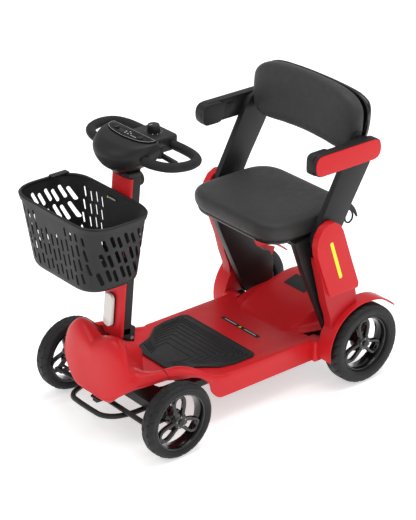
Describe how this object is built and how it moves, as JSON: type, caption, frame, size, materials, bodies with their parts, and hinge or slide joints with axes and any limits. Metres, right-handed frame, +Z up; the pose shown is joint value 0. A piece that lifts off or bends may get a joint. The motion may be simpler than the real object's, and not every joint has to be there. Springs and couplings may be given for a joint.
{
  "type": "mobility scooter",
  "caption": "Compact four-wheel mobility scooter with a folding-back seat, hinged tiller with basket, padded loop handlebar and a drop-in battery.",
  "frame": {"origin": "centre of the whole object's box on the ground plane", "axes": "+Z up, +Y to the rear, +X to the rider's left"},
  "size_m": [0.504, 0.9422, 0.8019],
  "materials": {
    "red_plastic": "satin moulded ABS",
    "black_plastic": "fine-grained moulded plastic",
    "gloss_black": "polished moulded plastic",
    "tyre_rubber": "solid tyre, moulded tread",
    "mat_rubber": "ribbed rubber",
    "rim_black": "satin moulded plastic",
    "seat_vinyl": "grained vinyl over foam",
    "zinc_steel": "zinc plated",
    "painted_steel": "black powder coat",
    "lamp_lens": "clear-coated lens",
    "tail_reflector": "prismatic reflector",
    "grip_foam": "closed-cell foam sleeve"
  },
  "bodies": {
    "chassis": {"chassis_frame": "painted_steel", "front_axle": "painted_steel", "front_bumper": "painted_steel", "deck_cover": "red_plastic", "nose_cowl": "red_plastic", "foot_mat": "mat_rubber", "rear_cover": "red_plastic", "fender_left": "red_plastic", "fender_right": "red_plastic", "seat_leg_left": "painted_steel", "seat_leg_right": "painted_steel", "tower_cover_left": "red_plastic", "tower_cover_right": "red_plastic", "seat_pan": "black_plastic", "seat_cushion": "seat_vinyl", "transaxle": "painted_steel", "controller_box": "black_plastic", "charge_socket": "black_plastic", "tail_light": "tail_reflector"},
    "battery": {"battery_pack": "black_plastic"},
    "freewheel": {"freewheel_lever": "painted_steel"},
    "steering": {"steering_stem": "zinc_steel", "hinge_pin": "zinc_steel"},
    "knuckle_left_body": {"knuckle_left": "painted_steel"},
    "knuckle_right_body": {"knuckle_right": "painted_steel"},
    "tie_rod_body": {"tie_rod": "zinc_steel"},
    "wheel_front_left": {"tyre_front_left": "tyre_rubber", "rim_front_left": "rim_black"},
    "wheel_front_right": {"tyre_front_right": "tyre_rubber", "rim_front_right": "rim_black"},
    "wheel_rear_left": {"tyre_rear_left": "tyre_rubber", "rim_rear_left": "rim_black"},
    "wheel_rear_right": {"tyre_rear_right": "tyre_rubber", "rim_rear_right": "rim_black"},
    "tiller": {"tiller_column": "painted_steel", "column_cover": "red_plastic", "headlight": "lamp_lens", "basket_bracket": "black_plastic"},
    "tilt_latch": {"tilt_lever": "painted_steel"},
    "clamp": {"height_knob": "black_plastic"},
    "head": {"inner_post": "zinc_steel", "console_housing": "black_plastic", "console_panel": "gloss_black", "handlebar": "grip_foam"},
    "speed": {"speed_knob": "black_plastic"},
    "throttle_left": {"throttle_lever_left": "black_plastic"},
    "throttle_right": {"throttle_lever_right": "black_plastic"},
    "power": {"power_button": "black_plastic"},
    "horn": {"horn_button": "black_plastic"},
    "basket_body": {"basket": "black_plastic"},
    "backrest": {"back_post_left": "painted_steel", "back_post_right": "painted_steel", "backrest_shell": "gloss_black", "backrest_cushion": "seat_vinyl"},
    "arm_left": {"armrest_left": "black_plastic", "armrest_cover_left": "red_plastic"},
    "arm_right": {"armrest_right": "black_plastic", "armrest_cover_right": "red_plastic"},
    "release": {"release_lever": "painted_steel"}
  },
  "joints": [
    {"name": "steer", "type": "hinge", "parent": "chassis", "child": "steering", "pos_m": [0, -0.2785, 0.25], "axis": [0, 0.0854, 0.9963], "range_deg": [-32, 32]},
    {"name": "knuckle_left_turn", "type": "hinge", "parent": "chassis", "child": "knuckle_left_body", "pos_m": [0.178, -0.259, 0.1], "axis": [0, 0, 1], "range_deg": [-22.4, 22.4]},
    {"name": "knuckle_right_turn", "type": "hinge", "parent": "chassis", "child": "knuckle_right_body", "pos_m": [-0.178, -0.259, 0.1], "axis": [0, 0, 1], "range_deg": [-22.4, 22.4]},
    {"name": "tie_rod_slide", "type": "slide", "parent": "chassis", "child": "tie_rod_body", "axis": [1, 0, 0], "range_m": [-0.02425, 0.02425]},
    {"name": "wheel_front_left_spin", "type": "hinge", "parent": "knuckle_left_body", "child": "wheel_front_left", "pos_m": [0.22, -0.259, 0.1], "axis": [1, 0, 0], "continuous": true},
    {"name": "wheel_front_right_spin", "type": "hinge", "parent": "knuckle_right_body", "child": "wheel_front_right", "pos_m": [-0.22, -0.259, 0.1], "axis": [1, 0, 0], "continuous": true},
    {"name": "wheel_rear_left_spin", "type": "hinge", "parent": "chassis", "child": "wheel_rear_left", "pos_m": [0.223, 0.361, 0.11], "axis": [1, 0, 0], "continuous": true},
    {"name": "wheel_rear_right_spin", "type": "hinge", "parent": "chassis", "child": "wheel_rear_right", "pos_m": [-0.223, 0.361, 0.11], "axis": [1, 0, 0], "continuous": true},
    {"name": "tiller_tilt", "type": "hinge", "parent": "steering", "child": "tiller", "pos_m": [0, -0.2535, 0.25], "axis": [-1, 0, 0], "range_deg": [0, 8]},
    {"name": "tilt_lever_turn", "type": "hinge", "parent": "tiller", "child": "tilt_latch", "pos_m": [0, -0.2457, 0.3194], "axis": [1, 0, 0], "range_deg": [0, 25], "stiffness_Nm_per_rad": 0.5, "springref_deg": -8.59},
    {"name": "tiller_height", "type": "slide", "parent": "tiller", "child": "head", "axis": [0, 0.0854, 0.9963], "range_m": [0, 0.06]},
    {"name": "height_knob_turn", "type": "hinge", "parent": "tiller", "child": "clamp", "pos_m": [0, -0.2208, 0.6586], "axis": [0, 0.9963, -0.0854], "continuous": true},
    {"name": "speed_dial", "type": "hinge", "parent": "head", "child": "speed", "pos_m": [0, -0.155, 0.778], "axis": [0, 0, 1], "range_deg": [0, 270]},
    {"name": "throttle_left_pull", "type": "hinge", "parent": "head", "child": "throttle_left", "pos_m": [0.058, -0.181, 0.738], "axis": [0, 0, 1], "range_deg": [0, 20], "stiffness_Nm_per_rad": 0.6, "springref_deg": -8.59},
    {"name": "throttle_right_pull", "type": "hinge", "parent": "head", "child": "throttle_right", "pos_m": [-0.058, -0.181, 0.738], "axis": [0, 0, -1], "range_deg": [0, 20], "stiffness_Nm_per_rad": 0.6, "springref_deg": -8.59},
    {"name": "power_press", "type": "slide", "parent": "head", "child": "power", "axis": [0, 0, -1], "range_m": [0, 0.002], "stiffness_N_per_m": 600, "springref_m": -0.001},
    {"name": "horn_press", "type": "slide", "parent": "head", "child": "horn", "axis": [0, 0, -1], "range_m": [0, 0.002], "stiffness_N_per_m": 600, "springref_m": -0.001},
    {"name": "basket_lift", "type": "slide", "parent": "tiller", "child": "basket_body", "axis": [0, 0.0854, 0.9963], "range_m": [0, 0.03]},
    {"name": "backrest_fold", "type": "hinge", "parent": "chassis", "child": "backrest", "pos_m": [0, 0.233, 0.4385], "axis": [1, 0, 0], "range_deg": [0, 88]},
    {"name": "armrest_left_flip", "type": "hinge", "parent": "backrest", "child": "arm_left", "pos_m": [0.2175, 0.326, 0.66], "axis": [-1, 0, 0], "range_deg": [0, 90]},
    {"name": "armrest_right_flip", "type": "hinge", "parent": "backrest", "child": "arm_right", "pos_m": [-0.2175, 0.326, 0.66], "axis": [-1, 0, 0], "range_deg": [0, 90]},
    {"name": "release_lever_pull", "type": "hinge", "parent": "chassis", "child": "release", "pos_m": [0.185, 0.294, 0.509], "axis": [1, 0, 0], "range_deg": [0, 25], "stiffness_Nm_per_rad": 0.5, "springref_deg": -8.59},
    {"name": "battery_slide", "type": "slide", "parent": "chassis", "child": "battery", "axis": [0, 1, 0], "range_m": [0, 0.1]},
    {"name": "freewheel_turn", "type": "hinge", "parent": "chassis", "child": "freewheel", "pos_m": [0.134, 0.442, 0.105], "axis": [1, 0, 0], "range_deg": [0, 40]}
  ],
  "couplings": [
    {"joint": "knuckle_left_turn", "follows": "steer", "ratio": 0.7},
    {"joint": "knuckle_right_turn", "follows": "steer", "ratio": 0.7},
    {"joint": "tie_rod_slide", "follows": "steer", "m_per_rad": 0.0434}
  ]
}
